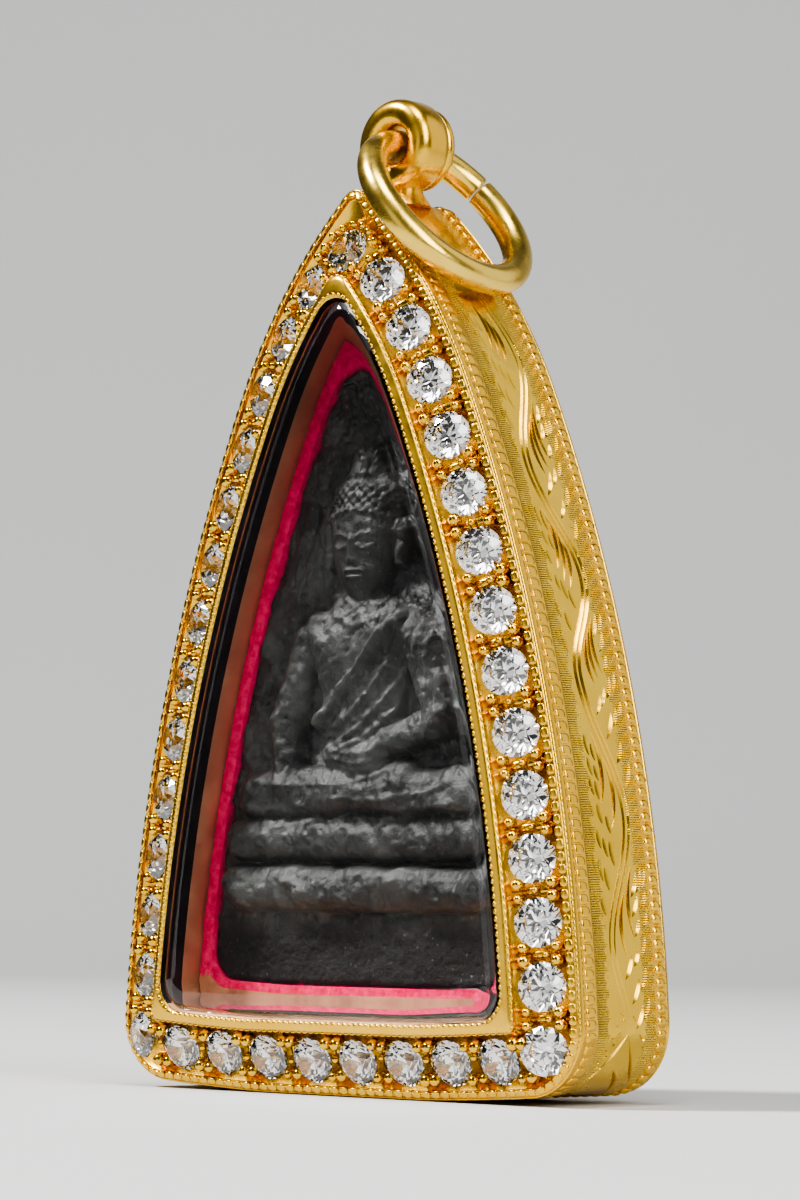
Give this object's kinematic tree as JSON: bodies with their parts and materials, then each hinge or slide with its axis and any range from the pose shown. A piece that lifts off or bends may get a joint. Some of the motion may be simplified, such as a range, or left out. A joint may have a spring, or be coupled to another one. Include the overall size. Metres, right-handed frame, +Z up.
{
  "type": "amulet pendant",
  "caption": "Ogive gold amulet casing set with round clear stones, clear windows over a dark clay tablet with a seated figure, a round bail and a split jump ring.",
  "frame": {"origin": "middle of the flat foot under the base, on the floor, halfway between the front and back of the whole part", "axes": "+Z up from the base to the bail, -Y out of the front window, +X to the right seen from the front"},
  "size_m": [0.0276, 0.0098, 0.046],
  "materials": {
    "gold": "polished",
    "pale_gold": "polished",
    "window": "clear polished",
    "stone": "faceted",
    "felt": "rough",
    "clay": "matte"
  },
  "bodies": {
    "pendant": {"casing": "gold", "front_crystal": "window", "back_crystal": "window", "gasket": "felt", "tablet": "clay", "stone_01": "stone", "stone_02": "stone", "stone_03": "stone", "stone_04": "stone", "stone_05": "stone", "stone_06": "stone", "stone_07": "stone", "stone_08": "stone", "stone_09": "stone", "stone_10": "stone", "stone_11": "stone", "stone_12": "stone", "stone_13": "stone", "stone_14": "stone", "stone_15": "stone", "stone_16": "stone", "stone_17": "stone", "stone_18": "stone", "stone_19": "stone", "stone_20": "stone", "stone_21": "stone", "stone_22": "stone", "stone_23": "stone", "stone_24": "stone", "stone_25": "stone", "stone_26": "stone", "stone_27": "stone", "stone_28": "stone", "stone_29": "stone", "stone_30": "stone", "stone_31": "stone", "stone_32": "stone", "stone_33": "stone", "stone_34": "stone", "stone_35": "stone", "stone_36": "stone", "stone_37": "stone"},
    "ring": {"jump_ring": "pale_gold"}
  },
  "joints": [
    {"name": "ring_swing", "type": "hinge", "parent": "pendant", "child": "ring", "pos_m": [0, 0, 0.04385], "axis": [0, -1, 0], "range_deg": [0, 284]}
  ]
}
